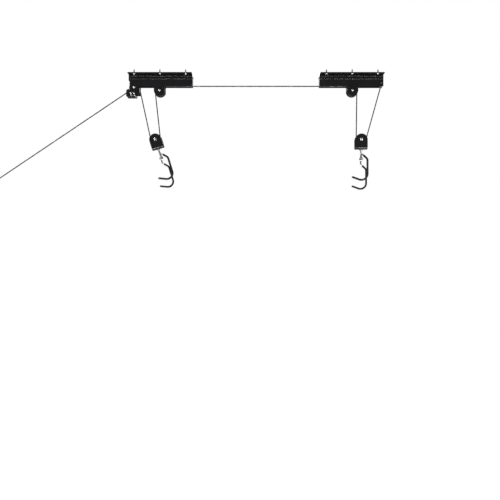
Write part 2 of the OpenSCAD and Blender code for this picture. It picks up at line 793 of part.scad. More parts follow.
wall_x = cleat_c.x - cleat_horn_h;
cleat_screw_z = [-cleat_base_l * 0.43, cleat_base_l * 0.43];
module wall_cleat() {
    tip = cleat_bar_r * 0.7;
    leg_z = cleat_base_l / 4;
    horn_l = cleat_l / 2 - leg_z - tip;
    color(nylon) difference() {
        union() {
            translate([wall_x, 0, cleat_c.y]) rotate([quarter, 0, quarter])
                linear_extrude(cleat_base_t) rounded_rect(
                    -cleat_w / 2, -cleat_base_l / 2, cleat_w / 2, cleat_base_l / 2, cleat_w / 3);
            translate([cleat_c.x, 0, cleat_c.y - leg_z]) cylinder(r = cleat_bar_r, h = 2 * leg_z);
            for (up = [0, 1]) translate([cleat_c.x, 0, cleat_c.y]) mirror([0, 0, up])
                translate([0, 0, leg_z]) {
                    sphere(r = cleat_bar_r);
                    translate([-cleat_horn_h, 0, 0]) rotate([0, quarter, 0])
                        cylinder(r = cleat_bar_r, h = cleat_horn_h);
                    cylinder(r1 = cleat_bar_r, r2 = tip, h = horn_l);
                    translate([0, 0, horn_l]) sphere(r = tip);
                }
        }
        for (z = cleat_screw_z) translate([wall_x - over, 0, cleat_c.y + z]) rotate([0, quarter, 0])
            cylinder(r = rivet_r + hole_gap, h = cleat_base_t + 2 * over);
    }
}

module wall_cleat_screws() {
    color(zinc) for (z = cleat_screw_z) translate([wall_x - screw_l, 0, cleat_c.y + z])
        rotate([0, quarter, 0]) {
            cylinder(r = rivet_r, h = screw_l + cleat_base_t);
            translate([0, 0, screw_l + cleat_base_t]) round_head(2 * rivet_r, rivet_r);
        }
}

module block_hardware(part, c, tilt, yaw, roll) {
    at_block(c, tilt) {
        if (part == "frame") block_frame();
        if (part == "axle") block_axle();
        if (part == "nut") block_nut();
        if (part == "eye") rotate([0, 0, -yaw]) swivel_eye();
        if (part == "eye_nut") swivel_nut();
        if (part == "rod") at_hook(yaw, roll) hook_rod();
        if (part == "sleeves") at_hook(yaw, roll) hook_sleeves();
    }
}

module front_block(part) {
    block_hardware(part, front_block_c, front_tilt, front_yaw, front_roll);
}

module rear_block(part) {
    block_hardware(part, rear_block_c, 0, rear_yaw, rear_roll);
}

hub_w = inner_w - 2 * side_gap;
block_hub_w = block_gap - 2 * side_gap;

ceiling_plate(0);  // front_ceiling_plate
channel(0, 0, true);  // front_channel
ceiling_screws(0);  // front_ceiling_screws
pulley(front_c, hub_w);  // front_middle_pulley
upper_axle(front_c);  // front_middle_axle
upper_nut(front_c);  // front_middle_nut
color(zinc) bush(front_c, inner_w);  // front_middle_bush
pulley(end_c, hub_w);  // end_pulley
upper_axle(end_c);  // end_axle
upper_nut(end_c);  // end_nut
color(zinc) bush(end_c, inner_w);  // end_bush
lock_housing();
lock_bolts();
lock_cam();
lock_cam_pin();
lock_pin(guide_c);  // lock_guide_pin
lock_pin(lip_c);  // lock_lip_pin
lock_rivets();
ceiling_plate(bracket_gap);  // rear_ceiling_plate
channel(bracket_gap, 1, false);  // rear_channel
ceiling_screws(bracket_gap);  // rear_ceiling_screws
pulley(rear_c, hub_w);  // rear_middle_pulley
upper_axle(rear_c);  // rear_middle_axle
upper_nut(rear_c);  // rear_middle_nut
color(zinc) bush(rear_c, inner_w);  // rear_middle_bush
anchor_pin();
anchor_knot();
rope_lock_bend();
rope_top_run();
rope_front_fall_left();
rope_front_fall_right();
rope_rear_fall_left();
rope_rear_fall_right();
front_rope_bight();
color(zinc) bush(front_block_c, block_hub_w);  // front_block_bush
pulley(front_block_c, block_hub_w);  // front_block_pulley
front_block("frame");  // front_block_frame
front_block("axle");  // front_block_axle
front_block("nut");  // front_block_nut
front_block("eye");  // front_swivel_eye
front_block("eye_nut");  // front_swivel_nut
front_block("rod");  // front_hook_rod
front_block("sleeves");  // front_hook_sleeves
rear_rope_bight();
color(zinc) bush(rear_block_c, block_hub_w);  // rear_block_bush
pulley(rear_block_c, block_hub_w);  // rear_block_pulley
rear_block("frame");  // rear_block_frame
rear_block("axle");  // rear_block_axle
rear_block("nut");  // rear_block_nut
rear_block("eye");  // rear_swivel_eye
rear_block("eye_nut");  // rear_swivel_nut
rear_block("rod");  // rear_hook_rod
rear_block("sleeves");  // rear_hook_sleeves
pull_rope();
pull_rope_knot();
wall_cleat();
wall_cleat_screws();
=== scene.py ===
# %% [markdown]
# # A rope hoist for a ceiling
# Two black steel brackets screw to the ceiling. One rope runs through both, round
# five grooved wheels in all, and lifts two double hooks together. A toothed lock
# holds the rope, and its loose end is tied to a wall cleat.
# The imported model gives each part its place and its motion. The pressed steel, the
# lock, the bushes and the cleat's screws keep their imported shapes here. Rope, rods,
# sleeves, wheels, bolts, nuts, the other screws and the cleat are built again in
# finer form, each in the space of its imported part.

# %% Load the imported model
import json
import math
import bpy
import numpy as np
from mathutils import Matrix, Vector

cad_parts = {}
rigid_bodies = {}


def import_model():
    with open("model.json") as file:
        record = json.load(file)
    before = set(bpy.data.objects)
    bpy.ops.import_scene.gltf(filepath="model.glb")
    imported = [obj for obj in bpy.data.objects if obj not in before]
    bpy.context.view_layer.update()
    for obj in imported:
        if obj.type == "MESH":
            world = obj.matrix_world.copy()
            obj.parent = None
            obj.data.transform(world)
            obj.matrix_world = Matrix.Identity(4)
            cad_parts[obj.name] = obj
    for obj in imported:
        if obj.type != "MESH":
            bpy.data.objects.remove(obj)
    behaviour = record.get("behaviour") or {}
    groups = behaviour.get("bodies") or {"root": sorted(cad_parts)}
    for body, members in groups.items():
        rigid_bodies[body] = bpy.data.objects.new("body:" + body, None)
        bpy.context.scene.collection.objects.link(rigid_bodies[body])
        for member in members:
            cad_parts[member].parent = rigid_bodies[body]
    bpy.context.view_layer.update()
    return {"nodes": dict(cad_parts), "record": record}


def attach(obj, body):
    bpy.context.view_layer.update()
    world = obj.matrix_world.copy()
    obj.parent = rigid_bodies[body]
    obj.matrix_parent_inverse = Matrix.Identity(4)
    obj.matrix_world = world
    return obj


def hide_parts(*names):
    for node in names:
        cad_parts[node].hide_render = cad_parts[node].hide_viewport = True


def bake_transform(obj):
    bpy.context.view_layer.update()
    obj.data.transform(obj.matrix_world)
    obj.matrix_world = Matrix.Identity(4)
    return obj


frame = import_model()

MM = 0.001
nodes = frame["nodes"]

# %% [markdown]
# ## The camera
# The photograph looks straight at the hoist, level and from nearly two metres.
# A camera that points along +Y needs only a quarter turn about X. Its lens is
# found from the bracket's known length and the width that it takes in the picture.

# %% Camera
SENSOR_WIDTH = 36.0
LENS = 39.5
CAMERA_AT = (0.3077, -1.9, -0.6052)
eye = bpy.data.cameras.new("camera")
eye.sensor_width = SENSOR_WIDTH
eye.lens = LENS
camera = bpy.data.objects.new("camera", eye)
camera.location = CAMERA_AT
camera.rotation_euler = (math.radians(90), 0, 0)
bpy.context.scene.collection.objects.link(camera)
bpy.context.scene.camera = camera
print("camera sees", round(-CAMERA_AT[1] * SENSOR_WIDTH / LENS, 3), "m across the hoist's plane")

# %% [markdown]
# ## Places
# Every axle and pin is a point in the X-Z plane, in millimetres, as in the packed
# model. Rope leaves a wheel on a tangent, so each straight fall needs the angle at
# which it touches: for two wheels whose sides it joins crosswise, that comes from
# the distance of the axles and the sum of the radii. A loop of rope stays clear of
# the pin or bar inside it by PLAY.

# %% Axles, pins and angles
ROPE_R = 2.0
AXLE_R = 3.0
CLEAT_BAR_R = 6.0
PLAY = 0.1
PITCH_R = 16.5
BRACKET_GAP = 657.0
END_AXLE = (-91.5, -45.0)
FRONT_AXLE = (-4.0, -55.0)
REAR_AXLE = (BRACKET_GAP + 4.0, -55.0)
FRONT_BLOCK = (-19.0, -223.0)
REAR_BLOCK = (BRACKET_GAP + 35.0, -223.0)
ANCHOR = (BRACKET_GAP + 104.0, -29.0)
GUIDE_BEND_R = 4.0
GUIDE = (END_AXLE[0] - PITCH_R - GUIDE_BEND_R, END_AXLE[1] - 10.0)
LIP = (GUIDE[0] - 3.0, GUIDE[1] - 2 * GUIDE_BEND_R)
TAIL_SLOPE = 33.9
TAIL_LENGTH = 560.0
KNOT_LENGTH = 9.0
KNOT_TO_LOOP = 1.0
KNOT_TOP = (ANCHOR[0], ANCHOR[1] - AXLE_R - 2 * ROPE_R)


def heading(a, b):
    return math.degrees(math.atan2(b[1] - a[1], b[0] - a[0]))


def apart(a, b):
    return math.hypot(b[0] - a[0], b[1] - a[1])


def spot(centre, r, angle):
    a = math.radians(angle)
    return (centre[0] + r * math.cos(a), centre[1] + r * math.sin(a))


def arc(centre, r, start, turn, steps=24):
    return [spot(centre, r, start + turn * i / steps) for i in range(steps + 1)]


def touch_down(a, b, shift):
    return heading(a, b) + math.degrees(math.acos(shift / apart(a, b)))


def touch_up(a, b, shift):
    return heading(a, b) - math.degrees(math.acos(shift / apart(a, b)))


TOUCH_1 = touch_down(END_AXLE, FRONT_BLOCK, 2 * PITCH_R)
TOUCH_2 = touch_up(FRONT_BLOCK, FRONT_AXLE, 2 * PITCH_R)
TOUCH_3 = touch_down(REAR_AXLE, REAR_BLOCK, 2 * PITCH_R)
TOUCH_4 = touch_up(REAR_BLOCK, KNOT_TOP, PITCH_R)
TAIL_START = spot(LIP, GUIDE_BEND_R, 90 + TAIL_SLOPE)
TAIL_END = spot(TAIL_START, TAIL_LENGTH, 180 + TAIL_SLOPE)
LOOP_R = (CLEAT_BAR_R + ROPE_R + PLAY) / math.cos(math.radians(TAIL_SLOPE))
CLEAT = spot(TAIL_END, KNOT_LENGTH + LOOP_R + KNOT_TO_LOOP, 180 + TAIL_SLOPE)
KNOT_FOOT = spot(KNOT_TOP, KNOT_LENGTH, TOUCH_4 - 90)
print("pull rope ends at", [round(v, 1) for v in TAIL_END])

# %% [markdown]
# ## Rope
# The rope is a round braid: six strands wind one way, six the other, and each
# passes over and under those it meets. A plain tube would look like plastic pipe.
# The strands could be swept one by one, but twelve curves along two metres make
# a heavy mesh. Here one tube carries the braid as relief: with `a` and `b`
# counting the strands of each family, whole-number cells of (a, b) are crossings,
# and an even cell shows the first family on top.

# %% A tube along points
def even_points(points, gap):
    """The same line with points a fixed gap apart, and how far along each lies."""
    points = np.array(points, float)
    steps = np.linalg.norm(np.diff(points, axis=0), axis=1)
    along = np.concatenate([[0], np.cumsum(steps)])
    count = max(2, int(round(along[-1] / gap)) + 1)
    at = np.linspace(0, along[-1], count)
    return np.stack([np.interp(at, along, points[:, i]) for i in range(3)], 1), at


def ring_axes(points, up):
    """Two axes across the line at each point, carried along without twist."""
    ways = np.gradient(points, axis=0)
    ways /= np.linalg.norm(ways, axis=1)[:, None]
    first = []
    side = np.array(up, float)
    for way in ways:
        side = side - way * (side @ way)
        side /= np.linalg.norm(side)
        first.append(side)
    first = np.array(first)
    return first, np.cross(ways, first)


def new_piece(name, points_m, faces, uvs=None):
    mesh = bpy.data.meshes.new(name)
    mesh.from_pydata([tuple(p) for p in points_m], [], faces)
    if uvs is not None:
        layer = mesh.uv_layers.new(name="UVMap")
        layer.data.foreach_set("uv", np.array(uvs, np.float32).ravel())
    mesh.polygons.foreach_set("use_smooth", [True] * len(mesh.polygons))
    mesh.update()
    piece = bpy.data.objects.new(name, mesh)
    bpy.context.scene.collection.objects.link(piece)
    return piece


def tube(name, points, radius, sides, gap, up=(0, 1, 0)):
    """A closed tube; radius is a function of (angle, way along) in millimetres."""
    line, along = even_points(points, gap)
    first, second = ring_axes(line, up)
    turn = np.linspace(0, 2 * np.pi, sides, endpoint=False)
    r = radius(turn[None, :], along[:, None]) * np.ones((len(line), sides))
    rings = (line[:, None, :]
             + r[:, :, None] * (np.cos(turn)[None, :, None] * first[:, None, :]
                                + np.sin(turn)[None, :, None] * second[:, None, :]))
    faces, uvs = [], []
    for i in range(len(line) - 1):
        for k in range(sides):
            n = (k + 1) % sides
            faces.append((i * sides + k, i * sides + n, (i + 1) * sides + n, (i + 1) * sides + k))
            u0, u1 = k / sides, (k + 1) / sides
            uvs += [(u0, along[i]), (u1, along[i]), (u1, along[i + 1]), (u0, along[i + 1])]
    last = (len(line) - 1) * sides
    faces.append(tuple(range(sides - 1, -1, -1)))
    faces.append(tuple(range(last, last + sides)))
    uvs += [(0.5, along[0])] * sides + [(0.5, along[-1])] * sides
    return new_piece(name, rings.reshape(-1, 3) * MM, faces, uvs)


# %% The braid's relief
STRANDS = 6
CROSSING = 2.2
ROPE_SIDES = 24
ROPE_GAP = 0.75
RELIEF = 0.3


def braid_radius(turn, along):
    """Rope radius: strand tops reach ROPE_R, and the valleys lie RELIEF below."""
    a = STRANDS * turn / (2 * np.pi) + along / CROSSING
    b = STRANDS * turn / (2 * np.pi) - along / CROSSING
    across_a = np.sin(np.pi * (a % 1))
    across_b = np.sin(np.pi * (b % 1))
    over = (np.floor(a) + np.floor(b)) % 2 == 0
    top = np.where(over, across_a, across_b) ** 0.5
    crest = np.where(over, across_b, across_a)
    return ROPE_R - RELIEF * (1 - top * (0.72 + 0.28 * crest))


def lay(points, y=0.0):
    return [(p[0], y, p[1]) for p in points]


def rope(name, points, node):
    piece = tube(name, points, braid_radius, ROPE_SIDES, ROPE_GAP)
    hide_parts(node)
    return piece


# %% [markdown]
# ## The pull rope
# It leaves the lock's lip and runs straight to its cleat, held taut, so it has no
# sag and no coil. It is 560 mm long, 4 mm thick, and it ends in its knot on the
# cleat, just outside the picture.

# %% Pull rope
pull_line = lay([TAIL_START, TAIL_END])
pull_rope = rope("braided_pull_rope", pull_line, "pull_rope")
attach(pull_rope, "root")

# %% [markdown]
# ## The rope's fixed stretches
# Over the two middle wheels and through the lock the rope keeps its place while
# it slides along itself, so these stretches ride on the brackets. The two bights
# under the lower wheels ride with the blocks.

# %% Rope over the wheels and under the blocks
top_run = rope("braided_top_run", lay(
    arc(FRONT_AXLE, PITCH_R, 180 + TOUCH_2, -90 - TOUCH_2)
    + arc(REAR_AXLE, PITCH_R, 90, TOUCH_3 - 90)), "rope_top_run")
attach(top_run, "root")

lock_bend = rope("braided_lock_bend", lay(
    arc(END_AXLE, PITCH_R, TOUCH_1, 180 - TOUCH_1)
    + arc(GUIDE, GUIDE_BEND_R, 0, -90)
    + arc(LIP, GUIDE_BEND_R, 90, TAIL_SLOPE)), "rope_lock_bend")
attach(lock_bend, "root")

for end, block, start, stop in (("front", FRONT_BLOCK, TOUCH_1, TOUCH_2),
                                ("rear", REAR_BLOCK, TOUCH_3, TOUCH_4)):
    bight = rope("braided_%s_bight" % end,
                 lay(arc(block, PITCH_R, start + 180, 180 + stop - start)),
                 "%s_rope_bight" % end)
    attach(bight, "%s_bight" % end)
print("rope over the brackets' wheels:",
      len(top_run.data.vertices) + len(lock_bend.data.vertices), "points")

# %% [markdown]
# ## The four falls
# A fall shortens and lengthens as its block moves. Here each fall is one straight piece of rope,
# from its top on the bracket to its foot at the block.

# %% Falls that stretch between bracket and block
FALLS = (
    ("front_fall_left", "front", spot(END_AXLE, PITCH_R, TOUCH_1),
     spot(FRONT_BLOCK, PITCH_R, TOUCH_1 + 180)),
    ("front_fall_right", "front", spot(FRONT_AXLE, PITCH_R, TOUCH_2 + 180),
     spot(FRONT_BLOCK, PITCH_R, TOUCH_2)),
    ("rear_fall_left", "rear", spot(REAR_AXLE, PITCH_R, TOUCH_3),
     spot(REAR_BLOCK, PITCH_R, TOUCH_3 + 180)),
    ("rear_fall_right", "rear", KNOT_FOOT, spot(REAR_BLOCK, PITCH_R, TOUCH_4)),
)
for name, end, top, foot in FALLS:
    fall = rope("braided_" + name, lay([top, foot]), "rope_" + name)
    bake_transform(fall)
    print(name, round(apart(top, foot), 1), "mm")

# %% [markdown]
# ## Knots
# Each end of the rope goes round its pin or bar and is tied with a barrel knot:
# the end comes back, winds a little over two turns round the standing part, and
# tucks in. One tube follows that whole path, so the turns are real rope.

# %% Barrel knots
WIND_R = 3.55
WIND_TURNS = 2.3
PIN_LOOP_R = AXLE_R + ROPE_R + PLAY
LOOP_ANGLES = np.linspace(math.radians(25), math.radians(335), 36)


def knot_path(foot, top, loop):
    """Up through the knot, round the loop, back, and down in turns round itself."""
    foot, top = Vector(foot), Vector(top)
    axis = (top - foot).normalized()
    side = Vector((0, 1, 0))
    third = axis.cross(side)
    path = [foot, foot.lerp(top, 0.5), top]
    path += [Vector(p) for p in loop]
    steps = int(WIND_TURNS * 24)
    for i in range(steps + 1):
        a = 2 * math.pi * WIND_TURNS * i / steps
        sink = (KNOT_LENGTH - 2 * ROPE_R) * i / steps + ROPE_R
        out = WIND_R * min(1.0, i / 6 + 0.45)
        path.append(top - axis * sink + (side * math.cos(a) + third * math.sin(a)) * out)
    return path


def knot(name, node, foot, top, loop):
    piece = tube(name, [tuple(p) for p in knot_path(foot, top, loop)],
                 braid_radius, ROPE_SIDES, ROPE_GAP, up=(0.2, 1, 0.1))
    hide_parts(node)
    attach(piece, "root")
    return piece


pin_loop = [(ANCHOR[0] + PIN_LOOP_R * math.sin(a), 0, ANCHOR[1] - PIN_LOOP_R * math.cos(a))
            for a in LOOP_ANGLES]
knot("anchor_barrel_knot", "anchor_knot",
     (KNOT_FOOT[0], 0, KNOT_FOOT[1]), (KNOT_TOP[0], 0, KNOT_TOP[1]), pin_loop)

rise = math.radians(TAIL_SLOPE)
bar_loop = [(CLEAT[0] + LOOP_R * math.cos(a) * math.cos(rise), LOOP_R * math.sin(a),
             CLEAT[1] + LOOP_R * math.cos(a) * math.sin(rise))
            for a in LOOP_ANGLES]
pull_knot_top = spot(TAIL_END, KNOT_LENGTH, 180 + TAIL_SLOPE)
pull_knot = knot("pull_rope_barrel_knot", "pull_rope_knot",
                 (TAIL_END[0], 0, TAIL_END[1]), (pull_knot_top[0], 0, pull_knot_top[1]),
                 bar_loop)
print("knots at", [round(v, 1) for v in KNOT_TOP], "and", [round(v, 1) for v in pull_knot_top])

# %% [markdown]
# ## Finishes
# Effects that several finishes share are node groups: a fine grain, and faint dust
# that lies on upper faces. The braid is a group as well, since its long chain of
# sums would crowd the rope's material. Each takes coordinates and numbers in, and
# gives masks, heights or a roughness out.

# %% Helpers for node groups
def group(name, inputs, outputs):
    tree = bpy.data.node_groups.new(name, "ShaderNodeTree")
    for label, kind, value in inputs:
        socket = tree.interface.new_socket(name=label, in_out="INPUT", socket_type=kind)
        if value is not None:
            socket.default_value = value
    for label, kind in outputs:
        tree.interface.new_socket(name=label, in_out="OUTPUT", socket_type=kind)
    return tree, tree.nodes.new("NodeGroupInput"), tree.nodes.new("NodeGroupOutput")


def step(tree, operation, a, b=None, c=None):
    """A Math node; each value is a socket or a number."""
    node = tree.nodes.new("ShaderNodeMath")
    node.operation = operation
    for place, value in zip(node.inputs, (a, b, c)):
        if value is None:
            continue
        if isinstance(value, bpy.types.NodeSocket):
            tree.links.new(value, place)
        else:
            place.default_value = value
    return node.outputs[0]


def noise(tree, vector, scale, detail=3.0, rough=0.5):
    node = tree.nodes.new("ShaderNodeTexNoise")
    tree.links.new(vector, node.inputs["Vector"])
    if isinstance(scale, bpy.types.NodeSocket):
        tree.links.new(scale, node.inputs["Scale"])
    else:
        node.inputs["Scale"].default_value = scale
    node.inputs["Detail"].default_value = detail
    node.inputs["Roughness"].default_value = rough
    return node.outputs["Fac"]


def remap(tree, value, low, high, to_low=0.0, to_high=1.0):
    node = tree.nodes.new("ShaderNodeMapRange")
    tree.links.new(value, node.inputs["Value"])
    for label, number in (("From Min", low), ("From Max", high),
                          ("To Min", to_low), ("To Max", to_high)):
        if isinstance(number, bpy.types.NodeSocket):
            tree.links.new(number, node.inputs[label])
        else:
            node.inputs[label].default_value = number
    return node.outputs["Result"]


def mix_colour(tree, factor, a, b):
    node = tree.nodes.new("ShaderNodeMix")
    node.data_type = "RGBA"
    tree.links.new(factor, node.inputs["Factor"])
    for place, value in ((node.inputs["A"], a), (node.inputs["B"], b)):
        if isinstance(value, bpy.types.NodeSocket):
            tree.links.new(value, place)
        else:
            place.default_value = (*value, 1.0)
    return node.outputs["Result"]


# %% Grain: a fine relief and a slow change of shine
grain, g_in, g_out = group(
    "fine_grain",
    [("Vector", "NodeSocketVector", None), ("Grain per metre", "NodeSocketFloat", 900.0),
     ("Patch per metre", "NodeSocketFloat", 30.0), ("Roughness", "NodeSocketFloat", 0.4),
     ("Spread", "NodeSocketFloat", 0.1)],
    [("Height", "NodeSocketFloat"), ("Roughness", "NodeSocketFloat"),
     ("Patch", "NodeSocketFloat")])
fine = noise(grain, g_in.outputs["Vector"], g_in.outputs["Grain per metre"], 2.0)
patch = noise(grain, g_in.outputs["Vector"], g_in.outputs["Patch per metre"], 4.0, 0.6)
centred = step(grain, "SUBTRACT", patch, 0.5)
shine = step(grain, "MULTIPLY_ADD", centred, g_in.outputs["Spread"], g_in.outputs["Roughness"])
grain.links.new(fine, g_out.inputs["Height"])
grain.links.new(shine, g_out.inputs["Roughness"])
grain.links.new(patch, g_out.inputs["Patch"])

# %% Dust: settles on upper faces, in patches
dust, d_in, d_out = group(
    "settled_dust",
    [("Vector", "NodeSocketVector", None), ("Normal", "NodeSocketVector", None),
     ("Amount", "NodeSocketFloat", 0.2)],
    [("Mask", "NodeSocketFloat")])
split = dust.nodes.new("ShaderNodeSeparateXYZ")
dust.links.new(d_in.outputs["Normal"], split.inputs[0])
upward = remap(dust, split.outputs["Z"], 0.2, 1.0)
clouds = remap(dust, noise(dust, d_in.outputs["Vector"], 60.0, 5.0, 0.65), 0.35, 0.75)
specks = remap(dust, noise(dust, d_in.outputs["Vector"], 1400.0, 2.0), 0.5, 0.7)
laid = step(dust, "MULTIPLY", upward, step(dust, "MULTIPLY_ADD", specks, 0.4, clouds))
dust.links.new(step(dust, "MULTIPLY", laid, d_in.outputs["Amount"]), d_out.inputs["Mask"])

# %% Braid: strand tops, which family is on top, and the flecks
braid, b_in, b_out = group(
    "round_braid",
    [("UV", "NodeSocketVector", None), ("Strands", "NodeSocketFloat", float(STRANDS)),
     ("Crossing", "NodeSocketFloat", CROSSING)],
    [("Top", "NodeSocketFloat"), ("Yarn", "NodeSocketFloat"), ("Fleck", "NodeSocketFloat")])
uv = braid.nodes.new("ShaderNodeSeparateXYZ")
braid.links.new(b_in.outputs["UV"], uv.inputs[0])
round_it = step(braid, "MULTIPLY", uv.outputs["X"], b_in.outputs["Strands"])
along_it = step(braid, "DIVIDE", uv.outputs["Y"], b_in.outputs["Crossing"])
strand_a = step(braid, "ADD", round_it, along_it)
strand_b = step(braid, "SUBTRACT", round_it, along_it)
cell = step(braid, "ADD", step(braid, "FLOOR", strand_a), step(braid, "FLOOR", strand_b))
odd = step(braid, "PINGPONG", cell, 1.0)
in_a = step(braid, "FRACT", strand_a)
in_b = step(braid, "FRACT", strand_b)


def choose(tree, switch, a, b):
    """a where switch is 0 and b where it is 1."""
    return step(tree, "ADD", step(tree, "MULTIPLY", a, step(tree, "SUBTRACT", 1.0, switch)),
                step(tree, "MULTIPLY", b, switch))


across = choose(braid, odd, in_a, in_b)
dome = step(braid, "SINE", step(braid, "MULTIPLY", across, math.pi))
yarn = step(braid, "SINE", step(braid, "MULTIPLY", across, 10 * math.pi))
which = choose(braid, odd, step(braid, "FLOOR", strand_a), step(braid, "FLOOR", strand_b))
seed = braid.nodes.new("ShaderNodeCombineXYZ")
braid.links.new(step(braid, "FLOORED_MODULO", which, b_in.outputs["Strands"]), seed.inputs["X"])
braid.links.new(step(braid, "FLOOR", step(braid, "MULTIPLY", along_it, 0.5)), seed.inputs["Y"])
braid.links.new(odd, seed.inputs["Z"])
chance = braid.nodes.new("ShaderNodeTexWhiteNoise")
chance.noise_dimensions = "3D"
braid.links.new(seed.outputs[0], chance.inputs["Vector"])
braid.links.new(dome, b_out.inputs["Top"])
braid.links.new(yarn, b_out.inputs["Yarn"])
braid.links.new(step(braid, "GREATER_THAN", chance.outputs["Value"], 0.86), b_out.inputs["Fleck"])
print("node groups:", [g.name for g in bpy.data.node_groups])

# %% [markdown]
# ## Materials
# Each finish is a Principled shader of its own. Its constants sit on the shader's
# sockets, and the groups feed only what changes over the surface.

# %% Start of a material
def new_material(name, **constants):
    material = bpy.data.materials.new(name)
    material.use_nodes = True
    tree = material.node_tree
    shader = tree.nodes["Principled BSDF"]
    for label, value in constants.items():
        shader.inputs[label.replace("_", " ")].default_value = value
    place = tree.nodes.new("ShaderNodeTexCoord")
    return material, tree, shader, place


def use_group(tree, shared, **values):
    node = tree.nodes.new("ShaderNodeGroup")
    node.node_tree = shared
    for label, value in values.items():
        place = node.inputs[label.replace("_", " ")]
        if isinstance(value, bpy.types.NodeSocket):
            tree.links.new(value, place)
        else:
            place.default_value = value
    return node


def bump(tree, shader, height, strength, distance):
    node = tree.nodes.new("ShaderNodeBump")
    node.inputs["Strength"].default_value = strength
    node.inputs["Distance"].default_value = distance
    tree.links.new(height, node.inputs["Height"])
    tree.links.new(node.outputs["Normal"], shader.inputs["Normal"])


def dusted(tree, place, colour, amount, shade=(0.34, 0.33, 0.31)):
    layer = use_group(tree, dust, Vector=place.outputs["Object"],
                      Normal=place.outputs["Normal"], Amount=amount)
    return mix_colour(tree, layer.outputs["Mask"], colour, shade)


# %% Black powder coat, bright zinc, nylon, vinyl
def surface(name, dark, light, grain_scale, patch_scale, rough, spread, relief, dust_amount,
            metallic=0.0, specular=0.5):
    """A finish between two colours, with grain, patches of shine and settled dust."""
    material, tree, shader, place = new_material(name, Metallic=metallic,
                                                 Specular_IOR_Level=specular)
    texture = use_group(tree, grain, Vector=place.outputs["Object"],
                        Grain_per_metre=grain_scale, Patch_per_metre=patch_scale,
                        Roughness=rough, Spread=spread)
    tint = remap(tree, texture.outputs["Patch"], 0.3, 0.7)
    colour = mix_colour(tree, tint, dark, light)
    if dust_amount:
        colour = dusted(tree, place, colour, dust_amount)
    tree.links.new(colour, shader.inputs["Base Color"])
    tree.links.new(texture.outputs["Roughness"], shader.inputs["Roughness"])
    bump(tree, shader, texture.outputs["Height"], 0.35, relief)
    return material


powder_coat = surface("black_powder_coat", (0.004, 0.004, 0.0045), (0.008, 0.008, 0.009),
                      1500.0, 18.0, 0.18, 0.06, 0.000015, 0.04, specular=0.5)
bright_zinc = surface("bright_zinc", (0.50, 0.51, 0.52), (0.62, 0.62, 0.61),
                      2600.0, 90.0, 0.36, 0.2, 0.00002, 0.0, metallic=1.0)
moulded_nylon = surface("moulded_nylon", (0.006, 0.006, 0.0065), (0.012, 0.012, 0.0125),
                        2000.0, 40.0, 0.48, 0.16, 0.00004, 0.05, specular=0.3)
soft_vinyl = surface("soft_vinyl", (0.005, 0.005, 0.0055), (0.009, 0.009, 0.0095),
                     1100.0, 25.0, 0.34, 0.12, 0.00003, 0.03, specular=0.35)

# %% Braided rope
braided_cord, tree, shader, place = new_material("braided_cord", Roughness=0.82)
pattern = use_group(tree, braid, UV=place.outputs["UV"])
strand_colour = mix_colour(tree, pattern.outputs["Fleck"],
                           (0.016, 0.016, 0.018), (0.36, 0.37, 0.38))
# Painted shade: the valleys between the strands are painted darker than the strand tops.
painted_valley_shade = mix_colour(tree, pattern.outputs["Top"], (0.006, 0.006, 0.007), strand_colour)
tree.links.new(painted_valley_shade, shader.inputs["Base Color"])
bump(tree, shader, pattern.outputs["Yarn"], 0.5, 0.00008)
shader.inputs["Sheen Weight"].default_value = 0.25
shader.inputs["Sheen Roughness"].default_value = 0.4

FINISH = {"black_steel": powder_coat, "zinc_steel": bright_zinc, "nylon": moulded_nylon,
          "vinyl": soft_vinyl, "rope": braided_cord}
print("finishes:", sorted(FINISH))

# %% [markdown]
# ## Turned parts
# Screws, bolts, nuts, wheels and the swivel's shank are all turned shapes: one
# outline spun about an axis. A thread is the same spin with a ridge that climbs
# one pitch each turn, and a cross recess is pressed into a head's dome.

# %% A spun outline
def pose(centre, axis):
    """Places a part that is built along +Z: centre in millimetres, +Z along axis."""
    turn = Vector((0, 0, 1)).rotation_difference(Vector(axis)).to_matrix().to_4x4()
    return Matrix.Translation(Vector(centre)) @ turn


def spun_mesh(outline, sides=40, thread=None, hexagon=None, recess=None):
    """Points and faces of an outline of (radius, height); ends at radius 0 are closed.
    thread = (low, high, pitch, depth), hexagon = (low, high, half width across flats),
    recess = (low, arm length, arm width, depth)."""
    dense = []
    for (r0, z0), (r1, z1) in zip(outline, outline[1:]):
        steps = 1
        if thread and min(z0, z1) >= thread[0] - 1e-6 and max(z0, z1) <= thread[1] + 1e-6:
            steps = max(1, int(abs(z1 - z0) / (thread[2] / 6)))
        dense += [(r0 + (r1 - r0) * i / steps, z0 + (z1 - z0) * i / steps) for i in range(steps)]
    dense.append(outline[-1])
    points, faces = [], []
    for r, z in dense:
        for k in range(sides):
            a = 2 * math.pi * k / sides
            size, height = r, z
            if thread and thread[0] < z < thread[1]:
                phase = (z / thread[2] - k / sides) * 2 * math.pi
                size -= thread[3] * (0.5 - 0.5 * math.cos(phase))
            if hexagon and hexagon[0] <= z <= hexagon[1]:
                sixth = (a + math.pi / 6) % (math.pi / 3) - math.pi / 6
                size = min(size, hexagon[2] / math.cos(sixth))
            if recess and z > recess[0]:
                x, y = abs(r * math.cos(a)), abs(r * math.sin(a))
                arm = max(0.0, 1 - (min(x, y) / recess[2]) ** 4)
                reach = max(0.0, 1 - (max(x, y) / recess[1]) ** 4)
                height -= recess[3] * arm * reach
            points.append((size * math.cos(a), size * math.sin(a), height))
    for i in range(len(dense) - 1):
        for k in range(sides):
            n = (k + 1) % sides
            faces.append((i * sides + k, i * sides + n, (i + 1) * sides + n, (i + 1) * sides + k))
    faces.append(tuple(range(sides - 1, -1, -1)))
    last = (len(dense) - 1) * sides
    faces.append(tuple(range(last, last + sides)))
    return points, faces


